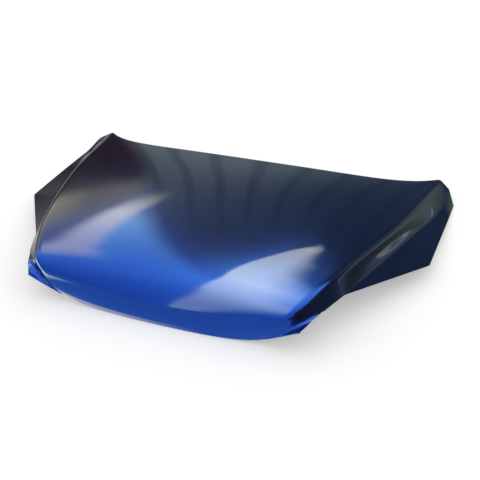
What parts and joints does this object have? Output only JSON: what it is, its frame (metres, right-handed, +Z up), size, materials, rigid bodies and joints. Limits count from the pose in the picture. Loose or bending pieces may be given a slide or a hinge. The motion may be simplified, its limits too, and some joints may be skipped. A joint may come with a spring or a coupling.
{
  "type": "car bonnet",
  "caption": "Pressed steel car bonnet with a wrapped-down nose and stepped side wings, hemmed to an inner frame with hinge plates and a catch loop.",
  "frame": {"origin": "middle of the underside of the bounding box, on the plane that the bonnet rests on", "axes": "+X to the side, across the car; +Y from the nose lip to the windscreen edge; +Z up, as the bonnet lies right side up"},
  "size_m": [1.4802, 1.0386, 0.1723],
  "materials": {
    "lacquer": "gloss blue-black metallic lacquer",
    "primer": "satin black electrocoat",
    "zinc": "zinc plated, dull",
    "mastic": "matt cured sealant"
  },
  "bodies": {
    "root": {"hinge_nut_left_inner": "zinc", "hinge_nut_left_outer": "zinc", "hinge_nut_right_inner": "zinc", "hinge_nut_right_outer": "zinc", "hinge_plate_left": "primer", "hinge_plate_right": "primer", "inner_frame": "primer", "latch_reinforcement": "primer", "mastic_01": "mastic", "mastic_02": "mastic", "mastic_03": "mastic", "mastic_04": "mastic", "mastic_05": "mastic", "mastic_06": "mastic", "mastic_07": "mastic", "mastic_08": "mastic", "mastic_09": "mastic", "mastic_10": "mastic", "mastic_11": "mastic", "mastic_12": "mastic", "mastic_13": "mastic", "mastic_14": "mastic", "mastic_15": "mastic", "mastic_16": "mastic", "nose_stiffener": "primer", "outer_panel": "lacquer", "stay_bracket": "zinc", "striker_bolt_left": "zinc", "striker_bolt_right": "zinc", "striker_loop": "zinc", "striker_plate": "zinc"}
  },
  "joints": []
}
